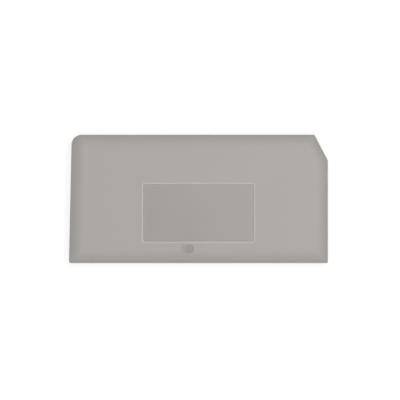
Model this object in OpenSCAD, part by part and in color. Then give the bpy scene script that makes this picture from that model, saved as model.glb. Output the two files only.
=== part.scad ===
// End cover for a rail-mounted terminal block: one plastic moulding that closes the block's open side.
//
// The outer face looks up (+Z). On the back, a rim seats on the block and three pegs press into its holes.
// The pegs' tips stand on Z = 0. X runs along the cover and Y up its face, with the origin under the
// middle of the outline.

/* [Outline] */
// Length of the bottom edge
cover_length = 60.5; // [52:0.5:76]
// Height of the face, from the bottom edge to the top edge
cover_height = 30; // [28:0.5:40]
// How far the left edge leans inwards on its way up to the top edge
left_lean = 0.65; // [0:0.05:2]
// Length that the slanting corner takes off the top edge
slant_x = 3.15; // [2:0.05:6]
// Height that the slanting corner takes off the right edge
slant_y = 6; // [3:0.1:9]
// Radius of the round top left corner
round_corner_r = 2.4; // [1:0.1:4]
// Radius of the bottom left corner
foot_corner_r = 0.5; // [0.4:0.05:1.5]
// Radius of the three crisp corners
crisp_corner_r = 0.35; // [0.35:0.05:0.6]

/* [Face] */
// Thickness of the cover, from the back rim's seat to the outer face
cover_thick = 2.2; // [2:0.1:3.2]
// Width of the soft curve between the flat face and the side walls
crown_w = 3.2; // [2:0.1:4]
// How far that curve falls from the face
crown_drop = 0.95; // [0.4:0.05:1]
// Radius of the edge between that curve and the side walls
edge_r = 0.25; // [0.15:0.05:0.35]

/* [Label field] */
// Length of the sunken field
field_length = 25.7; // [20:0.1:34]
// Height of the sunken field
field_height = 13.3; // [9:0.1:16]
// Distance from the bottom edge up to the field
field_rise = 5.1; // [4.9:0.05:7]
// How far the field's middle lies to the left of the cover's middle
field_shift = 0; // [-4:0.1:4]
// Depth of the field's floor under the face
field_depth = 0.2; // [0.15:0.05:0.4]
// How far the field's walls lean outwards from the floor to the face
field_draft = 0.05; // [0.03:0.01:0.15]
// Radius of the field's corners at the face
field_corner_r = 0.4; // [0.3:0.05:1.5]
// Width of the bead that frames the field
bead_w = 0.4; // [0.3:0.05:0.7]
// Height of that bead above the face
bead_h = 0.06; // [0.04:0.01:0.12]
// Width of the flat step between the bead and the field's wall
bead_step = 0.05; // [0.05:0.05:0.3]

/* [Gate mark] */
// Diameter of the round well where the plastic flowed in
gate_d = 2.1; // [1.2:0.1:2.4]
// Depth of that well
gate_depth = 0.35; // [0.15:0.05:0.5]
// Clearance between the well and the bead above it
gate_gap = 0.25; // [0.1:0.05:0.5]
// How far the well lies to the left of the field's middle
gate_shift = 2.25; // [-6:0.05:6]
// Diameter of the shallow scar beside the well
scar_d = 1.9; // [1:0.1:2]
// Depth of that scar
scar_depth = 0.12; // [0.05:0.01:0.14]
// How far the scar lies to the left of the well
scar_shift = 0.9; // [0.5:0.05:1.5]
// How far the scar lies below the well
scar_drop = 0.15; // [0:0.05:0.3]

/* [Back] */
// Thickness of the wall behind the face
wall = 1.3; // [1:0.05:1.6]
// Width of the rim that seats on the block
rim_w = 1.6; // [1.2:0.1:2.4]
// Thickness of the stiffening ribs
rib_w = 0.9; // [0.6:0.1:1.4]
// How far the ribs stop short of the seat
rib_gap = 0.2; // [0.1:0.05:0.3]
// How far the rim's inner wall leans, from the seat up to the wall behind the face
rim_draft = 0.08; // [0.04:0.02:0.2]
// Diameter of the flat pads that the ejector pins leave
ejector_d = 3; // [2:0.1:4]
// How far those pads stand out of the wall behind the face
ejector_h = 0.1; // [0.05:0.01:0.15]

/* [Pegs] */
// Diameter of a peg
peg_d = 2.8; // [2:0.1:3.5]
// Length of a peg below the seat
peg_length = 3.6; // [2.5:0.1:5]
// Size of the bevel on a peg's tip
peg_bevel = 0.5; // [0.3:0.05:0.8]
// Width of the seating ring that the boss leaves around a peg
boss_ring = 1.1; // [0.8:0.1:1.5]
// Distance of the two lower pegs from the ends of the bottom edge
peg_inset_x = 6.5; // [5.5:0.1:12]
// Distance of the pegs from the bottom and top edges
peg_inset_y = 5.5; // [5:0.1:7]

/* [Hidden] */
$fn = 48;
PLASTIC = [0.69, 0.675, 0.66];
CUT = 1;                                   // how far a cutter runs past what it cuts
FAR = 2 * (cover_length + cover_height);   // longer than any line across the cover
HAIR = 0.003;                              // how far an arc passes its tangent, to cross what it would only touch
CORNER_PLAY = 0.05;                        // how far a corner's turned section stands off the sides' levels
POST_R = 0.06;                             // radius about a corner's centre where nothing is taken off
rim_corner_r = 0.5;                        // least radius of the corners inside the rim

// Heights are measured from the seat; the last move lifts the cover on to its pegs' tips.
face_z = cover_thick;
ceiling_z = cover_thick - wall;
field_floor_z = face_z - field_depth;

right = cover_length / 2;
top = cover_height / 2;

// The outline's corners, anticlockwise from the bottom left, and their radii.
OUTLINE = [
    [-right, -top],
    [right, -top],
    [right, top - slant_y],
    [right - slant_x, top],
    [-right + left_lean, top]
];
OUTLINE_R = [foot_corner_r, crisp_corner_r, crisp_corner_r, crisp_corner_r, round_corner_r];

// The sunken field, measured where its walls meet the face, and the line of the bead's crest round it.
field_x = -field_shift;
field_y = -top + field_rise + field_height / 2;
FIELD = [
    [field_x - field_length / 2, field_y - field_height / 2],
    [field_x + field_length / 2, field_y - field_height / 2],
    [field_x + field_length / 2, field_y + field_height / 2],
    [field_x - field_length / 2, field_y + field_height / 2]
];
crest_out = bead_step + bead_w / 2;
foot_out = bead_step + bead_w;

gate_x = field_x - gate_shift;
gate_y = -top + field_rise - foot_out - gate_gap - gate_d / 2;

peg_x = right - peg_inset_x;
peg_y = top - peg_inset_y;
PEGS = [[-peg_x, -peg_y], [peg_x, -peg_y], [0, peg_y]];
boss_d = peg_d + 2 * boss_ring;

module end_cover() {
    color(PLASTIC) translate([0, 0, peg_length]) {
        difference() {
            union() {
                carried(OUTLINE, OUTLINE_R) crowned_section();
                carried(grown(FIELD, foot_out), all_four(field_corner_r + foot_out)) bead_section();
            }
            carried(grown(FIELD, crest_out), all_four(field_corner_r + crest_out)) field_cut_section();
            gate_mark();
            hollow();
        }
        for (p = PEGS) translate([p.x, p.y, 0]) peg();
    }
}

// Carrying a section round a convex outline: functions and modules that the face, the bead, the field and
// the hollow all use.

function all_four(r) = [for (i = [0 : 3]) r];

// Outward normal of the side that starts at corner i.
function side_normal(p, i) =
    let (d = p[(i + 1) % len(p)] - p[i])
    [d.y, -d.x] / norm(d);

// The point that lies the distance d inside both sides at corner i.
function inside_corner(p, i, d) =
    let (a = side_normal(p, (i + len(p) - 1) % len(p)), b = side_normal(p, i))
    p[i] - d * (a + b) / (1 + a * b);

// The outline with every side moved outwards by d.
function grown(p, d) = [for (i = [0 : len(p) - 1]) inside_corner(p, i, -d)];

// The section is 2D: X runs inwards from the outline and Y is the height. The solid is what the long bars
// of all the sides have in common, with each corner turned to its radius.
module carried(p, r) {
    difference() {
        intersection_for (i = [0 : len(p) - 1]) side_bar(p, i) children();
        for (i = [0 : len(p) - 1]) corner_waste(p, i, r[i]) children();
    }
}

module side_bar(p, i) {
    n = side_normal(p, i);
    translate([p[i].x, p[i].y, 0])
        rotate([0, 0, atan2(n.y, n.x) + 90])
            translate([-FAR, 0, 0])
                rotate([90, 0, 90]) linear_extrude(2 * FAR) children();
}

// What rounding takes off corner i: the wedge beyond the centre of its arc, less the turned section.
module corner_waste(p, i, r) {
    centre = inside_corner(p, i, r - HAIR);
    a = side_normal(p, (i + len(p) - 1) % len(p));
    b = side_normal(p, i);
    reach = 3 * r;
    translate([centre.x, centre.y, 0]) difference() {
        translate([0, 0, -2 * CUT])
            linear_extrude(cover_thick + 4 * CUT)
                polygon([[0, 0], reach * a, reach * (a + b), reach * b]);
        rotate_extrude() {
            for (dz = [-CORNER_PLAY, CORNER_PLAY])
                intersection() {
                    translate([r, dz]) mirror([1, 0]) children();
                    translate([0, -2 * CUT]) square([FAR, cover_thick + 4 * CUT]);
                }
            translate([0, -3 * CUT]) square([POST_R, cover_thick + 6 * CUT]);
        }
    }
}

// Radius of an arc that is w wide and falls by drop, starting a hair above the level that it falls from.
function roll_r(w, drop) =
    let (fall = drop + HAIR)
    (w * w + fall * fall) / (2 * fall);

// Everything below the height h, rolled off at the outline by such an arc.
module rolled(w, drop, h) {
    r = roll_r(w, drop);
    intersection() {
        square([FAR, h]);
        union() {
            translate([w, 0]) square([FAR, h]);
            translate([w, h + HAIR - r]) circle(r);
        }
    }
}

// Rim to rim: the flat face, the crown that falls away from it, and the small edge above the side wall.
module crowned_section() {
    r = roll_r(crown_w, crown_drop);
    crown_c = [crown_w, face_z + HAIR - r];
    // The edge's centre lies this far inside the side wall and the crown's arc.
    inner = edge_r - HAIR;
    edge_c = [inner, crown_c.y + sqrt(pow(r - inner, 2) - pow(crown_w - inner, 2))];
    beyond = edge_c + 2 * edge_r * (edge_c - crown_c) / norm(edge_c - crown_c);
    intersection() {
        rolled(crown_w, crown_drop, face_z);
        union() {
            polygon([
                [-CUT, 0],
                [-CUT, edge_c.y],
                edge_c,
                beyond,
                [beyond.x, 2 * face_z],
                [FAR, 2 * face_z],
                [FAR, 0]
            ]);
            translate(edge_c) circle(edge_r);
        }
    }
}

// Outer half of the bead, solid from the seat up; the field's cutter shapes the inner half.
module bead_section() {
    translate([0, ceiling_z]) rolled(bead_w / 2, bead_h, wall + bead_h);
}

// What is cut inside the bead's crest: above the bead's inner half, its step, the field's wall and floor.
module field_cut_section() {
    r = roll_r(bead_w / 2, bead_h);
    difference() {
        polygon([
            [0, face_z + CUT],
            [0, face_z],
            [crest_out, face_z],
            [crest_out + field_draft, field_floor_z],
            [FAR, field_floor_z],
            [FAR, face_z + CUT]
        ]);
        intersection() {
            translate([0, face_z + bead_h + HAIR - r]) circle(r);
            translate([-CUT, face_z]) square([2 * CUT, CUT]);
        }
    }
}

// The round well, and the scar that overlaps it.
module gate_mark() {
    translate([gate_x, gate_y, face_z - gate_depth]) cylinder(h = gate_depth + CUT, d = gate_d);
    translate([gate_x - scar_shift, gate_y - scar_drop, face_z - scar_depth]) cylinder(h = scar_depth + CUT, d = scar_d);
}

// What is taken out of the back, all round the ribs, the bosses and the ejector pads.
module hollow() {
    difference() {
        carried(grown(OUTLINE, -rim_w), [for (r = OUTLINE_R) max(r - rim_w, rim_corner_r)])
            hollow_section();
        ribs();
        for (p = PEGS) translate([p.x, p.y, -2 * CUT]) cylinder(h = cover_thick + 2 * CUT, d = boss_d);
        for (x = [-1, 1] * peg_x / 2, y = [-1, 1] * peg_y / 2)
            translate([x, y, ceiling_z - ejector_h]) cylinder(h = wall, d = ejector_d);
    }
}

module hollow_section() {
    polygon([[0, -CUT], [0, 0], [rim_draft, ceiling_z], [FAR, ceiling_z], [FAR, -CUT]]);
}

// One rib runs through every peg in each direction.
module ribs() {
    for (y = [-1, 1] * peg_y) translate([-right, y - rib_w / 2, rib_gap]) cube([cover_length, rib_w, cover_thick]);
    for (x = [-1, 0, 1] * peg_x) translate([x - rib_w / 2, -top, rib_gap]) cube([rib_w, cover_height, cover_thick]);
}

module peg() {
    r = peg_d / 2;
    rotate_extrude()
        polygon([
            [0, -peg_length],
            [r - peg_bevel, -peg_length],
            [r, -peg_length + peg_bevel],
            [r, ceiling_z],
            [0, ceiling_z]
        ]);
}

end_cover();
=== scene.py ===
"""Looks of the terminal block end cover: one grey moulding, lying face up on its three pegs.

The moulding is one closed surface, worked out as rings of points. The rings start on the floor of the
label field, climb its wall and bead, cross the face, roll over the edge, go down the side and finish
on the wall behind the face. Ribs, pegs with their bosses, and pads are then united with it, and the
gate's well is cut out of it.
Every length in the tables below is in millimetres, as in the part's source.
"""

import math

import bpy
import numpy as np
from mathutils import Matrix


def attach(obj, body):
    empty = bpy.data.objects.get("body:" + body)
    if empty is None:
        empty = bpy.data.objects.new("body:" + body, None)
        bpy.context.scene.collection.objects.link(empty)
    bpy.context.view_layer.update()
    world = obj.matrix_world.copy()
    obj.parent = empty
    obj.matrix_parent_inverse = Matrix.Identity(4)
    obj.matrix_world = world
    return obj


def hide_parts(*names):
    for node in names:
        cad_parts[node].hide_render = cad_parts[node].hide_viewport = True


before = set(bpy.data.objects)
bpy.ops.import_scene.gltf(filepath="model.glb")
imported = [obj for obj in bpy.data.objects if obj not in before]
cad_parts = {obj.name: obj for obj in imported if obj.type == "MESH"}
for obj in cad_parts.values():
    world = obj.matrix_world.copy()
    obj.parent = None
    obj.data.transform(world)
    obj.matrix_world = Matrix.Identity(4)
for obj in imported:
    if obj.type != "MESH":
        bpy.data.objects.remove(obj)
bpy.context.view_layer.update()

MM = 0.001

# Outline and face
LENGTH, HEIGHT, THICK = 60.5, 30.0, 2.2
LEFT_LEAN, SLANT_X, SLANT_Y = 0.65, 3.15, 6.0
CORNER_R = (0.5, 0.35, 0.35, 0.35, 2.4)
CROWN_W, CROWN_DROP, EDGE_R = 3.2, 0.95, 0.25
HIP_SOFTNESS = 0.3      # how fast the crown's corners grow rounder on their way in

# Label field
FIELD_L, FIELD_H, FIELD_RISE, FIELD_SHIFT = 25.7, 13.3, 5.1, 0.0
FIELD_DEPTH, FIELD_DRAFT, FIELD_R = 0.2, 0.05, 0.4
BEAD_W, BEAD_H, BEAD_STEP = 0.4, 0.06, 0.05
FLOOR_FILLET = 0.02

# Gate mark
GATE_R, GATE_DEPTH, GATE_GAP, GATE_SHIFT = 1.05, 0.35, 0.25, 2.25
SCAR_R, SCAR_DEPTH, SCAR_SHIFT, SCAR_DROP = 0.95, 0.12, 0.9, 0.15
SCAR_SOFTNESS = 0.4     # width over which the scar's side falls
LIP_H, LIP_W = 0.025, 0.16

# Back
WALL, RIM_W, RIB_W, RIB_GAP, RIM_DRAFT = 1.3, 1.6, 0.9, 0.2, 0.08
RIM_CORNER_R, BACK_FILLET, CEILING_FILLET = 0.5, 0.06, 0.15
PAD_R, PAD_H = 1.5, 0.1

# Pegs
PEG_R, PEG_LENGTH, PEG_BEVEL, BOSS_RING = 1.4, 3.6, 0.5, 1.1
PEG_INSET_X, PEG_INSET_Y = 6.5, 5.5

SEAT = PEG_LENGTH
FACE = SEAT + THICK
CEILING = FACE - WALL
RIGHT, TOP = LENGTH / 2, HEIGHT / 2
OUTLINE = np.array([
    (-RIGHT, -TOP), (RIGHT, -TOP), (RIGHT, TOP - SLANT_Y), (RIGHT - SLANT_X, TOP),
    (-RIGHT + LEFT_LEAN, TOP)])
FIELD_X, FIELD_Y = -FIELD_SHIFT, -TOP + FIELD_RISE + FIELD_H / 2
FOOT_OUT = BEAD_STEP + BEAD_W
GATE_X = FIELD_X - GATE_SHIFT
GATE_Y = -TOP + FIELD_RISE - FOOT_OUT - GATE_GAP - GATE_R
PEG_X, PEG_Y = RIGHT - PEG_INSET_X, TOP - PEG_INSET_Y

# Points of a ring: on each corner's arc, and between the arcs on each side. The bottom side is left out
# of the second list, because it has a close stretch beside the gate mark.
ARC_POINTS = (9, 9, 6, 8, 17)
SIDE_POINTS = (0, 26, 8, 44, 26)
BOTTOM_POINTS = (14, 132, 20)
PAST_SCAR, PAST_WELL = 1.5, 1.75    # how far the close stretch reaches beyond the two marks
GATE_STRETCH = (GATE_X - SCAR_SHIFT - PAST_SCAR, GATE_X + PAST_WELL)
SLANT_FROM, SLANT_TO = 26, 38       # degrees of the field's corner that answer to the slanting one

# Rings across the flat face, and on the crown's inner and outer part, which meet CROWN_CLOSE inside the
# outline. Beside a fillet lies one more ring, which keeps the flat next to it flat in the shading.
FACE_RINGS, INNER_RINGS, OUTER_RINGS, CROWN_CLOSE = 34, 22, 20, 2.1
BESIDE = 0.03

# Round forms' segments, how far the marks reach from the gate, and how deep below the face
TURNED_SEGMENTS, WELL_SEGMENTS = 64, 96
MARK_REACH, MARK_BELOW = 4, 0.6
WELL_FILLET, WAVER_BROAD, WAVER_FINE = 0.08, 0.03, 0.012

SHARP_ANGLE = 32        # degrees between two faces, past which their edge isn't shaded round

# The finishes, by their place among the cover's materials: the plain skin; the smoother field floor, whose
# darker tone is painted shade; and the glossier bead edge on the field's wall, step and bead, whose
# lighter tone is painted highlight and painted light
SKIN, FIELD_FLOOR, BEAD_AND_WALL_PAINTED_LIGHT = 0, 1, 2

# The plastic's colour: darker in the blush round the gate, on the well's floor and in the scar, and
# changed a little by the grain. Then the changes of roughness, and the relief of the torn floor.
BLUSH, WELL_FLOOR_DARKER, SCAR_DARKER, GRAIN_TINT = 0.02, 0.24, 0.08, 0.05
ROUGHNESS_CHANGE, TORN_RELIEF = 0.08, 4.0
GRAIN_SCALE, MOTTLE_SCALE, TORN_SCALE = 5200, 90, 3800
GREY = (0.415, 0.390, 0.370)
# A little darker than GREY: painted shade on the recessed label field. The field's smoother floor is real.
FIELD_PAINTED_SHADE_GREY = (0.399, 0.373, 0.354)
# Lighter than GREY: a painted highlight along the bead, and painted light that lifts the shade on the
# field's wall and step
BEAD_AND_WALL_PAINTED_LIGHT_GREY = (0.460, 0.432, 0.410)


# Rings of points

def spread(start, end, count):
    """Count points evenly between two ends, without the ends: start + (end - start) * k / (count + 1)."""
    t = np.arange(1, count + 1)[:, None] / (count + 1)
    return np.asarray(start) + (np.asarray(end) - np.asarray(start)) * t


def bottom_side(start, end):
    """Points along the bottom side. X runs evenly in three stretches, closest in the middle one, which
    stays beside the gate mark in every ring. Y follows the straight line from start to end."""
    a, b = GATE_STRETCH
    left, middle, right = BOTTOM_POINTS
    x = np.concatenate([
        start[0] + (a - start[0]) * np.arange(1, left + 1) / (left + 1),
        np.linspace(a, b, middle),
        b + (end[0] - b) * np.arange(1, right + 1) / (right + 1)])
    y = start[1] + (end[1] - start[1]) * (x - start[0]) / (end[0] - start[0])
    return np.stack([x, y], axis=1)


def side_normals():
    """Outward unit normal of each side: its direction turned a quarter turn clockwise."""
    step = np.roll(OUTLINE, -1, axis=0) - OUTLINE
    return np.stack([step[:, 1], -step[:, 0]], axis=1) / np.linalg.norm(step, axis=1)[:, None]


def outline_ring(inset, radii):
    """The cover's outline moved inwards by inset, with its corners turned to the given radii.
    A corner's arc is centred inset + radius inside both sides, and runs from one side's normal to the
    next one's: centre + radius * (cos, sin) of an angle that grows evenly."""
    normals = side_normals()
    before = np.roll(normals, 1, axis=0)
    lean = (before + normals) / (1 + np.sum(before * normals, axis=1))[:, None]
    centres = OUTLINE - (inset + np.asarray(radii))[:, None] * lean
    arcs = []
    for i, count in enumerate(ARC_POINTS):
        a = math.atan2(before[i, 1], before[i, 0])
        turn = (math.atan2(normals[i, 1], normals[i, 0]) - a) % math.tau
        angle = a + turn * np.linspace(0, 1, count)
        arcs.append(centres[i] + radii[i] * np.stack([np.cos(angle), np.sin(angle)], axis=1))
    return joined(arcs, lambda i, a, b: spread(a, b, SIDE_POINTS[i]))


def field_ring(out):
    """The label field's edge moved outwards by out: straight sides, and quarter circles about four fixed
    centres. The top right quarter is shared out over the outline's slanting corner, so that both kinds of
    ring have their points in the same order."""
    r = FIELD_R + out
    cx, cy = FIELD_L / 2 - FIELD_R, FIELD_H / 2 - FIELD_R

    def arc(x, y, degrees):
        angle = np.radians(degrees)
        return np.stack([FIELD_X + x + r * np.cos(angle), FIELD_Y + y + r * np.sin(angle)], axis=1)

    quarters = ((-cx, -cy, 180, 270), (cx, -cy, 270, 360), (cx, cy, 0, SLANT_FROM),
                (cx, cy, SLANT_TO, 90), (-cx, cy, 90, 180))
    arcs = [arc(x, y, np.linspace(a, b, count)) for (x, y, a, b), count in zip(quarters, ARC_POINTS)]
    slant = arc(cx, cy, spread([SLANT_FROM], [SLANT_TO], SIDE_POINTS[2])[:, 0])
    return joined(arcs, lambda i, a, b: slant if i == 2 else spread(a, b, SIDE_POINTS[i]))


def joined(arcs, side):
    """Puts the arcs and the sides between them one after another, anticlockwise from the bottom left."""
    parts = []
    for i, arc in enumerate(arcs):
        end = arcs[(i + 1) % len(arcs)][0]
        parts += [arc, bottom_side(arc[-1], end) if i == 0 else side(i, arc[-1], end)]
    return np.concatenate(parts)


def at_height(ring, z):
    """The ring's points lifted to height z."""
    return np.column_stack([ring, np.full(len(ring), z)])


# The moulding, ring by ring

def field_rings():
    """Floor, fillet, leaning wall, flat step and bead, from inside outwards. The bead is the top of a
    circle through its two feet and its crest. Each row is a distance out from the field's edge, and a
    height."""
    floor, draft = FACE - FIELD_DEPTH, FIELD_DRAFT
    rows = [(-0.30, floor), (-draft - FLOOR_FILLET - BESIDE, floor)]
    for t in np.radians(np.linspace(0, 75, 5)):
        rows.append((-draft - FLOOR_FILLET + FLOOR_FILLET * math.sin(t),
                     floor + FLOOR_FILLET * (1 - math.cos(t))))
    rows += [(-draft * 0.4, FACE - FIELD_DEPTH * 0.4), (-0.006, FACE - 0.03), (-0.002, FACE - 0.008),
             (0.006, FACE), (BEAD_STEP - 0.01, FACE)]
    half = BEAD_W / 2
    r = (half ** 2 + BEAD_H ** 2) / (2 * BEAD_H)
    for x in np.linspace(-half, half, 13):
        rows.append((BEAD_STEP + half + x, FACE + BEAD_H - r + math.sqrt(r * r - x * x)))
    rows.append((FOOT_OUT + BESIDE, FACE))
    return [at_height(field_ring(out), z) for out, z in rows], rows


def crown_radii(inset):
    """Radii of the outline's corners on the crown: each shrinks by the inset, and softens with it."""
    return np.maximum(np.array(CORNER_R) - inset, 0) + HIP_SOFTNESS * inset


def crown_rings():
    """The rolled edge. The crown is a circle's arc that is level at CROWN_W and has fallen by CROWN_DROP
    at the wall. The small edge arc touches the wall and, from inside, the crown's arc."""
    r = (CROWN_W ** 2 + CROWN_DROP ** 2) / (2 * CROWN_DROP)
    centre = np.array([CROWN_W, FACE - r])
    edge = np.array([EDGE_R, centre[1] + math.sqrt((r - EDGE_R) ** 2 - (CROWN_W - EDGE_R) ** 2)])
    away = (edge - centre) / np.linalg.norm(edge - centre)
    meet = centre + r * away
    rows = []
    insets = np.concatenate([np.linspace(CROWN_W, CROWN_CLOSE, INNER_RINGS, endpoint=False),
                             np.linspace(CROWN_CLOSE, meet[0], OUTER_RINGS)])
    rows += [(d, centre[1] + math.sqrt(r * r - (CROWN_W - d) ** 2)) for d in insets]
    start = math.atan2(away[1], away[0])
    for t in np.linspace(start, math.pi, 9)[1:]:
        rows.append((edge[0] + EDGE_R * math.cos(t), edge[1] + EDGE_R * math.sin(t)))
    return [at_height(outline_ring(d, crown_radii(d)), z) for d, z in rows]


def back_rings():
    """Side wall, seat, the rim's leaning inner wall and the wall behind the face, with small fillets."""
    outer = np.array(CORNER_R)
    inner = np.maximum(outer - RIM_W, RIM_CORNER_R)
    side_levels = (SEAT + 0.9, SEAT + 0.3, SEAT + BACK_FILLET + 0.02)
    rings = [at_height(outline_ring(0, outer), z) for z in side_levels]

    def row(inset, z, radii):
        rings.append(at_height(outline_ring(inset, np.maximum(radii, 0.02)), z))

    for t in np.radians(np.linspace(0, 90, 4)):
        d = BACK_FILLET * (1 - math.cos(t))
        row(d, SEAT + BACK_FILLET * (1 - math.sin(t)), outer - d)
    row(BACK_FILLET + BESIDE, SEAT, outer - BACK_FILLET - BESIDE)
    row(RIM_W - BACK_FILLET - BESIDE, SEAT, inner + BACK_FILLET + BESIDE)
    for t in np.radians(np.linspace(0, 90, 4)):
        d = BACK_FILLET * (1 - math.sin(t))
        row(RIM_W - d, SEAT + BACK_FILLET * (1 - math.cos(t)), inner + d)
    row(RIM_W + RIM_DRAFT - 0.01, CEILING - CEILING_FILLET - 0.02, inner)
    for t in np.radians(np.linspace(0, 90, 5)):
        d = RIM_DRAFT + CEILING_FILLET * (1 - math.cos(t))
        row(RIM_W + d, CEILING - CEILING_FILLET * (1 - math.sin(t)), inner - d)
    row(RIM_W + RIM_DRAFT + CEILING_FILLET + 0.05, CEILING, inner - 0.25)
    return rings


def smooth_step(x):
    """0 below 0, 1 above 1 and 3x^2 - 2x^3 between."""
    x = np.clip(x, 0, 1)
    return x * x * (3 - 2 * x)


def scrape_scar(points):
    """Sinks the shallow scar beside the gate's well, and raises a thin uneven lip round the well.
    The scar sinks by its depth times a smooth step of the distance inside its circle. The lip is a bell
    curve of the distance from the well's edge, highest to the lower right."""
    x, y, z = points[:, 0], points[:, 1], points[:, 2]
    to_well = np.hypot(x - GATE_X, y - GATE_Y)
    to_scar = np.hypot(x - GATE_X + SCAR_SHIFT, y - GATE_Y + SCAR_DROP)
    bearing = np.arctan2(y - GATE_Y, x - GATE_X)
    lip = LIP_H * (0.45 + 0.55 * np.cos(bearing + 0.6))
    lip = lip * np.exp(-((to_well - GATE_R - LIP_W) / (LIP_W * 0.6)) ** 2)
    scar_edge = SCAR_R + SCAR_SOFTNESS / 4
    scar = FACE - SCAR_DEPTH * smooth_step((scar_edge - to_scar) / SCAR_SOFTNESS)
    near = (to_well < MARK_REACH) & (z > FACE - MARK_BELOW)
    scraped = np.where(to_scar < scar_edge, np.minimum(z, scar), z + np.maximum(lip, 0))
    z[near] = scraped[near]


def gate_well():
    """The cutter for the well: a round hole turned about its own axis, with a fillet at its floor and a
    mouth that flares a little. Its radius wavers with the bearing by the sum of two small cosines."""
    floor, f = FACE - GATE_DEPTH, WELL_FILLET
    profile = [(0, floor), (GATE_R - f - 0.05, floor)] + arc_profile(GATE_R - f, floor + f, f, -90, 0)
    profile += [(GATE_R, FACE - 0.08), (GATE_R + 0.004, FACE - 0.04), (GATE_R + 0.012, FACE - 0.01),
                (GATE_R + 0.03, FACE + 0.02), (GATE_R + 0.03, FACE + 1), (0, FACE + 1)]
    points, faces = turned(profile, (GATE_X, GATE_Y), WELL_SEGMENTS)
    bearing = np.arctan2(points[:, 1] - GATE_Y, points[:, 0] - GATE_X)
    waver = 1 + WAVER_BROAD * np.cos(3 * bearing + 2.8) - WAVER_FINE * np.cos(7 * bearing)
    points[:, 0] = GATE_X + (points[:, 0] - GATE_X) * waver
    points[:, 1] = GATE_Y + (points[:, 1] - GATE_Y) * waver
    return points, faces


def moulding_shell():
    """All rings as one grid, closed by a flat cap on the field's floor and one on the wall behind. The
    face between the bead and the crown is drawn straight from one ring to the other. Gives the points, the
    faces and each face's finish. Its tone is painted shade on the field's floor, and painted highlight and
    painted light on the field's wall, step and bead."""
    field, rows = field_rings()
    crown = crown_rings()
    across = [field[-1] + (crown[0] - field[-1]) * t for t in np.linspace(0, 1, FACE_RINGS + 2)[1:-1]]
    rings = field + across + crown + back_rings()
    points = np.concatenate(rings)
    scrape_scar(points)
    count, per = len(rings), len(rings[0])
    grid = np.arange(count * per).reshape(count, per)
    turn = np.roll(grid, -1, axis=1)
    quads = np.stack([grid[:-1], grid[1:], turn[1:], turn[:-1]], axis=-1).reshape(-1, 4).tolist()
    finish = np.full((count - 1, per), SKIN)
    for i, (out, z) in enumerate(rows[:-1]):
        if z < FACE - FIELD_DEPTH + FLOOR_FILLET and out < -FIELD_DRAFT / 2:
            finish[i] = FIELD_FLOOR
        elif out < FOOT_OUT:
            # The wall, step and bead take the lighter tone: painted highlight, and painted light on the
            # wall's shade
            finish[i] = BEAD_AND_WALL_PAINTED_LIGHT
    faces = [grid[0].tolist()] + quads + [grid[-1][::-1].tolist()]
    return points, faces, [FIELD_FLOOR] + finish.reshape(-1).tolist() + [SKIN]


# What stands on the back

def turned(profile, centre, segments=TURNED_SEGMENTS):
    """A profile of (radius, height) pairs turned about an upright axis. Its first and last points lie
    on the axis and become poles."""
    angle = np.arange(segments) * math.tau / segments
    inner = np.array(profile[1:-1])
    x = centre[0] + inner[:, :1] * np.cos(angle)
    y = centre[1] + inner[:, :1] * np.sin(angle)
    z = np.repeat(inner[:, 1:], segments, axis=1)
    points = np.concatenate([[(*centre, profile[0][1])], np.stack([x, y, z], axis=-1).reshape(-1, 3),
                             [(*centre, profile[-1][1])]])
    grid = 1 + np.arange(len(inner) * segments).reshape(len(inner), segments)
    turn = np.roll(grid, -1, axis=1)
    sides = np.stack([grid[:-1], turn[:-1], turn[1:], grid[1:]], axis=-1).reshape(-1, 4)
    bottom = np.stack([np.zeros(segments, int), turn[0], grid[0]], axis=-1)
    top = np.stack([np.full(segments, len(points) - 1), grid[-1], turn[-1]], axis=-1)
    return points, bottom.tolist() + sides.tolist() + top.tolist()


def arc_profile(r, z, fillet, turn_from, turn_to, count=5):
    """Points of a fillet in a profile: centre (r, z) plus the fillet's radius at evenly growing angles."""
    return [(r + fillet * math.cos(t), z + fillet * math.sin(t))
            for t in np.radians(np.linspace(turn_from, turn_to, count))]


def peg(centre):
    """A peg with the boss that carries it, as one profile: flat tip, bevel with its two edges rounded,
    straight wall up to the boss, the boss's flat ring level with the seat, and its side."""
    tip = 0.08
    profile = [(0, 0), (PEG_R - PEG_BEVEL - tip, 0)]
    profile += arc_profile(PEG_R - PEG_BEVEL - tip * 0.4, tip, tip, -90, -45, 4)
    profile += arc_profile(PEG_R - tip, PEG_BEVEL + tip * 0.4, tip, -45, 0, 4)
    profile += [(PEG_R, PEG_BEVEL + 0.2), (PEG_R, SEAT - 0.03), (PEG_R + 0.01, SEAT - 0.01),
                (PEG_R + 0.03, SEAT)]
    r, f = PEG_R + BOSS_RING, BACK_FILLET
    profile += [(r - f - BESIDE, SEAT)] + arc_profile(r - f, SEAT + f, f, -90, 0)
    profile += [(r, CEILING - 0.1), (r, CEILING + 0.2), (0, CEILING + 0.2)]
    return turned(profile, centre)


def ejector_pad(centre):
    """A low round pad, turned: a flat disc under the wall behind the face, with its edge rounded."""
    z = CEILING - PAD_H
    profile = [(0, z), (PAD_R - 0.06, z)] + arc_profile(PAD_R - 0.03, z + 0.03, 0.03, -90, 0, 4)
    profile += [(PAD_R, CEILING + 0.25), (0, CEILING + 0.25)]
    return turned(profile, centre)


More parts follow.
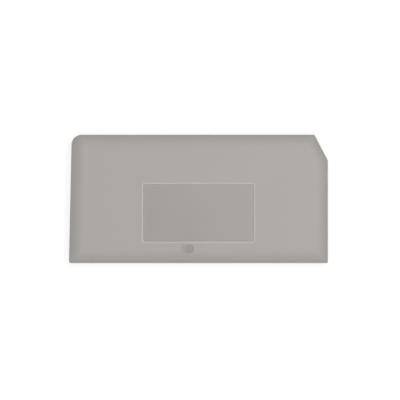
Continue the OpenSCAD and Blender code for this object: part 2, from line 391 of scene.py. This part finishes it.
def rib(start, end):
    """A bar's section carried straight from start to end: a rectangle with its two lower edges rounded."""
    start, end = np.array(start), np.array(end)
    along = (end - start) / np.linalg.norm(end - start)
    across = np.array([-along[1], along[0]])
    half, low, high, f = RIB_W / 2, SEAT + RIB_GAP, CEILING + 0.15, 0.1
    section = [(half, high), (-half, high)]
    section += arc_profile(-half + f, low + f, f, 180, 270)
    section += arc_profile(half - f, low + f, f, 270, 360)
    section = np.array(section)
    ends = [np.column_stack([p + across * section[:, :1], section[:, 1]]) for p in (start, end)]
    n = len(section)
    k = np.arange(n)
    sides = np.stack([k, np.roll(k, -1), np.roll(k, -1) + n, k + n], axis=-1)
    return np.concatenate(ends), sides.tolist() + [k[::-1].tolist(), (k + n).tolist()]


# Meshes

def new_mesh(name, points, faces, finish=None):
    """A mesh object at the origin, from points in millimetres, with its faces turned outwards."""
    mesh = bpy.data.meshes.new(name)
    mesh.from_pydata((np.asarray(points) * MM).tolist(), [], faces)
    if finish is not None:
        mesh.polygons.foreach_set("material_index", finish)
    mesh.update()
    piece = bpy.data.objects.new(name, mesh)
    bpy.context.scene.collection.objects.link(piece)
    if enclosed_volume(mesh) < 0:
        mesh.flip_normals()
    return piece


def enclosed_volume(mesh):
    """Sum over all triangles of a . (b x c) / 6, which is positive where faces point outwards."""
    mesh.calc_loop_triangles()
    corners = np.empty(len(mesh.loop_triangles) * 3, dtype=np.int32)
    mesh.loop_triangles.foreach_get("vertices", corners)
    points = np.empty(len(mesh.vertices) * 3)
    mesh.vertices.foreach_get("co", points)
    a, b, c = points.reshape(-1, 3)[corners.reshape(-1, 3)].transpose(1, 0, 2)
    return float(np.sum(a * np.cross(b, c)) / 6)


def united(body, others, cutters):
    """The body with the others' solids added and the cutters' taken away, as one mesh."""
    for other in others + cutters:
        join = body.modifiers.new(other.name, "BOOLEAN")
        join.operation = "DIFFERENCE" if other in cutters else "UNION"
        join.solver, join.object = "EXACT", other
    bpy.context.view_layer.update()
    result = bpy.data.meshes.new_from_object(body.evaluated_get(bpy.context.evaluated_depsgraph_get()))
    body.modifiers.clear()
    body.data = result
    for other in others + cutters:
        bpy.data.objects.remove(other)
    return body


# Materials

def moulded_skin():
    """A node group for moulded plastic: a fine eroded grain, slow changes of tone, a faint blush round the
    gate, where the hot plastic entered, and darker marks on the well's floor and in the scar. The blush
    and the marks follow the distance from their own centres, and the well's mark stays on the outer skin."""
    group = bpy.data.node_groups.new("moulded_skin", "ShaderNodeTree")
    add = group.interface.new_socket
    for name, kind, value in (("Tone", "NodeSocketColor", (0.43, 0.41, 0.39, 1)),
                              ("Grain Size", "NodeSocketFloat", GRAIN_SCALE),
                              ("Mottle", "NodeSocketFloat", 0.03),
                              ("Roughness", "NodeSocketFloat", 0.5)):
        add(name=name, in_out="INPUT", socket_type=kind).default_value = value
    for name, kind in (("Color", "NodeSocketColor"), ("Roughness", "NodeSocketFloat"),
                       ("Height", "NodeSocketFloat")):
        add(name=name, in_out="OUTPUT", socket_type=kind)
    nodes, links = group.nodes, group.links
    given, out = nodes.new("NodeGroupInput"), nodes.new("NodeGroupOutput")
    place = nodes.new("ShaderNodeTexCoord")

    def noise(scale, detail):
        node = nodes.new("ShaderNodeTexNoise")
        node.inputs["Scale"].default_value = scale
        node.inputs["Detail"].default_value = detail
        links.new(place.outputs["Object"], node.inputs["Vector"])
        return node

    def math_node(kind, a, b):
        node = nodes.new("ShaderNodeMath")
        node.operation = kind
        for socket, value in zip(node.inputs, (a, b)):
            if isinstance(value, (int, float)):
                socket.default_value = value
            else:
                links.new(value, socket)
        return node.outputs[0]

    def near(x, y, z, start, end, low, high):
        """A ramp of the distance from one place: low within start, high beyond end, smooth between."""
        gap = nodes.new("ShaderNodeVectorMath")
        gap.operation = "DISTANCE"
        gap.inputs[1].default_value = (x * MM, y * MM, z * MM)
        links.new(place.outputs["Object"], gap.inputs[0])
        ramp = nodes.new("ShaderNodeMapRange")
        ramp.interpolation_type = "SMOOTHSTEP"
        for socket, value in (("From Min", start * MM), ("From Max", end * MM),
                              ("To Min", low), ("To Max", high)):
            ramp.inputs[socket].default_value = value
        links.new(gap.outputs["Value"], ramp.inputs["Value"])
        return ramp.outputs["Result"]

    def about_zero(node):
        """The noise moved from 0 to 1 down to -0.5 to 0.5, so that it lightens as much as it darkens."""
        return math_node("SUBTRACT", node.outputs["Fac"], 0.5)

    grain, broad = noise(GRAIN_SCALE, 3), noise(MOTTLE_SCALE, 2)
    links.new(given.outputs["Grain Size"], grain.inputs["Scale"])
    blush = near(GATE_X, GATE_Y, FACE, 1.2, 5, -BLUSH, 0)
    upright = nodes.new("ShaderNodeSeparateXYZ")
    links.new(place.outputs["Object"], upright.inputs[0])
    outer_skin = math_node("GREATER_THAN", upright.outputs["Z"], (FACE - MARK_BELOW) * MM)
    well_floor = near(GATE_X, GATE_Y, FACE - GATE_DEPTH, GATE_R - 0.3, GATE_R + 0.02, 1, 0)
    well_mark = math_node("MULTIPLY", well_floor, outer_skin)
    scraped = near(GATE_X - SCAR_SHIFT, GATE_Y - SCAR_DROP, FACE - SCAR_DEPTH,
                   SCAR_R - 0.3, SCAR_R + 0.1, 1, 0)
    # Darker on the well's floor and in the scar
    mark = math_node("MAXIMUM", math_node("MULTIPLY", well_mark, WELL_FLOOR_DARKER),
                     math_node("MULTIPLY", scraped, SCAR_DARKER))

    slow_change = math_node("MULTIPLY", about_zero(broad), given.outputs["Mottle"])
    fine_change = math_node("MULTIPLY", about_zero(grain), GRAIN_TINT)
    marked = math_node("SUBTRACT", math_node("ADD", blush, 1.0), mark)
    level = math_node("ADD", math_node("ADD", slow_change, fine_change), marked)
    tinted = nodes.new("ShaderNodeVectorMath")
    tinted.operation = "SCALE"
    links.new(given.outputs["Tone"], tinted.inputs[0])
    links.new(level, tinted.inputs["Scale"])
    links.new(tinted.outputs["Vector"], out.inputs["Color"])
    rough = math_node("ADD", given.outputs["Roughness"],
                      math_node("MULTIPLY", about_zero(broad), ROUGHNESS_CHANGE))
    links.new(rough, out.inputs["Roughness"])
    torn_grain = math_node("MULTIPLY", noise(TORN_SCALE, 3).outputs["Fac"], well_mark)
    coarse = math_node("MULTIPLY", torn_grain, TORN_RELIEF)
    links.new(math_node("ADD", grain.outputs["Fac"], coarse), out.inputs["Height"])
    return group


def plastic(name, skin, tone, grain_size, relief, roughness, gloss):
    """Moulded plastic: the skin's colour, roughness and grain on a Principled surface. The relief is the
    height of the grain in millimetres."""
    material = bpy.data.materials.new(name)
    material.use_nodes = True
    nodes, links = material.node_tree.nodes, material.node_tree.links
    surface = nodes["Principled BSDF"]
    use = nodes.new("ShaderNodeGroup")
    use.node_tree = skin
    use.inputs["Tone"].default_value = (*tone, 1)
    use.inputs["Grain Size"].default_value = grain_size
    use.inputs["Roughness"].default_value = roughness
    bump = nodes.new("ShaderNodeBump")
    bump.inputs["Strength"].default_value = 1.0
    bump.inputs["Distance"].default_value = relief * MM
    links.new(use.outputs["Color"], surface.inputs["Base Color"])
    links.new(use.outputs["Roughness"], surface.inputs["Roughness"])
    links.new(use.outputs["Height"], bump.inputs["Height"])
    links.new(bump.outputs["Normal"], surface.inputs["Normal"])
    surface.inputs["Specular IOR Level"].default_value = gloss
    return material


def backdrop_ray(tree):
    """1 for the rays that see the pale background, from the camera and from glossy or clear surfaces,
    and 0 for all others, which light the object."""
    path = tree.nodes.new("ShaderNodeLightPath")
    factor = path.outputs["Is Camera Ray"]
    for kind in ("Is Glossy Ray", "Is Transmission Ray"):
        larger = tree.nodes.new("ShaderNodeMath")
        larger.operation = "MAXIMUM"
        tree.links.new(factor, larger.inputs[0])
        tree.links.new(path.outputs[kind], larger.inputs[1])
        factor = larger.outputs[0]
    return factor


def floor_material():
    """A pale matt floor. The camera and glossy surfaces see it as white, with only the object's shadow."""
    material = bpy.data.materials.new("studio_floor")
    material.use_nodes = True
    nodes, links = material.node_tree.nodes, material.node_tree.links
    nodes.clear()
    out = nodes.new("ShaderNodeOutputMaterial")
    pale, seen, white, both = (nodes.new("ShaderNodeBsdfDiffuse"), nodes.new("ShaderNodeBsdfDiffuse"),
                               nodes.new("ShaderNodeEmission"), nodes.new("ShaderNodeAddShader"))
    pale.inputs["Color"].default_value = (0.8, 0.8, 0.8, 1)
    seen.inputs["Color"].default_value = (0.2, 0.2, 0.2, 1)
    white.inputs["Color"].default_value = (1, 1, 1, 1)
    white.inputs["Strength"].default_value = 0.86
    which = nodes.new("ShaderNodeMixShader")
    links.new(seen.outputs[0], both.inputs[0])
    links.new(white.outputs[0], both.inputs[1])
    links.new(backdrop_ray(material.node_tree), which.inputs[0])
    links.new(pale.outputs[0], which.inputs[1])
    links.new(both.outputs[0], which.inputs[2])
    links.new(which.outputs[0], out.inputs["Surface"])
    return material


# The cover

cover = new_mesh("cover", *moulding_shell())
pegs_at = [(-PEG_X, -PEG_Y), (PEG_X, -PEG_Y), (0.0, PEG_Y)]
pads_at = [(sx * PEG_X / 2, sy * PEG_Y / 2) for sx in (-1, 1) for sy in (-1, 1)]
reach_x, reach_y = RIGHT - RIM_W * 0.9, TOP - RIM_W * 0.6     # the ribs end inside the rim
additions = [new_mesh(f"rib_row_{i}", *rib((-reach_x, y), (reach_x, y)))
             for i, y in enumerate((-PEG_Y, PEG_Y))]
additions += [new_mesh(f"rib_column_{i}", *rib((x, -reach_y), (x, reach_y)))
              for i, x in enumerate((-PEG_X, 0.0, PEG_X))]
additions += [new_mesh(f"peg_{i}", *peg(p)) for i, p in enumerate(pegs_at)]
additions += [new_mesh(f"pad_{i}", *ejector_pad(p)) for i, p in enumerate(pads_at)]
united(cover, additions, [new_mesh("gate_well", *gate_well())])

skin = moulded_skin()
for material in (plastic("moulded_grey", skin, GREY, GRAIN_SCALE, 0.011, 0.5, 0.5),
                 plastic("field_floor", skin, FIELD_PAINTED_SHADE_GREY, 9000, 0.001, 0.18, 0.5),
                 plastic("bead_and_wall_painted_light", skin, BEAD_AND_WALL_PAINTED_LIGHT_GREY, 6500, 0.003, 0.42, 0.8)):
    cover.data.materials.append(material)
cover.data.shade_smooth()
cover.data.set_sharp_from_angle(angle=math.radians(SHARP_ANGLE))

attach(cover, "root")
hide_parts("end_cover")

# Studio

FLOOR_SIZE = 3          # metres
SKY = 0.03              # the world's own light on the object
bpy.ops.mesh.primitive_plane_add(size=FLOOR_SIZE)
floor = bpy.context.object
floor.name = "studio_floor"
floor.data.materials.append(floor_material())

world = bpy.data.worlds.new("studio")
bpy.context.scene.world = world
world.use_nodes = True
wn, wl = world.node_tree.nodes, world.node_tree.links
sky, white, mix = wn["Background"], wn.new("ShaderNodeBackground"), wn.new("ShaderNodeMixShader")
sky.inputs["Color"].default_value, sky.inputs["Strength"].default_value = (1, 1, 1, 1), SKY
white.inputs["Color"].default_value, white.inputs["Strength"].default_value = (1, 1, 1, 1), 1.0
wl.new(backdrop_ray(world.node_tree), mix.inputs[0])
wl.new(sky.outputs[0], mix.inputs[1])
wl.new(white.outputs[0], mix.inputs[2])
wl.new(mix.outputs[0], wn["World Output"].inputs["Surface"])


def softbox(name, place, size, power, turn=0.0, faces_object=False):
    """A rectangular area lamp. It hangs level, turned about the upright by turn degrees, or is tipped to
    face the object."""
    lamp = bpy.data.lights.new(name, "AREA")
    lamp.shape, lamp.size, lamp.size_y, lamp.energy = "RECTANGLE", *size, power
    piece = bpy.data.objects.new(name, lamp)
    piece.location = place
    piece.rotation_euler = (0, 0, math.radians(turn))
    if faces_object:
        x, y, z = place
        piece.rotation_euler = (math.atan2(math.hypot(x, y), z), 0, math.atan2(-y, -x) - math.pi / 2)
    bpy.context.scene.collection.objects.link(piece)


# Four soft panels hang overhead, with a gap round the camera, which the smooth label field mirrors. Two
# low fills lift the sides that turn away from them.
softbox("panel_upper", (0.075, 0.272, 0.70), (0.44, 0.50), 1.90, turn=-12)
softbox("panel_lower", (0.14, -0.29, 0.70), (0.34, 0.40), 0.68, turn=-12)
softbox("panel_right", (0.19, 0.0, 0.64), (0.16, 0.34), 1.36)
softbox("panel_left", (-0.25, 0.0, 0.70), (0.26, 0.40), 0.47)
softbox("fill_left", (-0.42, 0.05, 0.38), (0.25, 0.35), 0.13, faces_object=True)
softbox("fill_below", (0.0, -0.42, 0.38), (0.35, 0.25), 0.27, faces_object=True)

FRAME_MM = 93.49        # width of the view at the cover's widest level
DISTANCE = 0.6          # metres from that level to the camera
WIDEST = SEAT + 0.9
SENSOR = 36
camera = bpy.data.cameras.new("camera")
camera.sensor_width = SENSOR
camera.lens = SENSOR * DISTANCE / (FRAME_MM * MM)
camera.clip_start, camera.clip_end = 0.01, 20
eye = bpy.data.objects.new("camera", camera)
eye.location = (0.37 * MM, -0.25 * MM, DISTANCE + WIDEST * MM)
bpy.context.scene.collection.objects.link(eye)
bpy.context.scene.camera = eye
bpy.context.scene.view_settings.view_transform = "Standard"
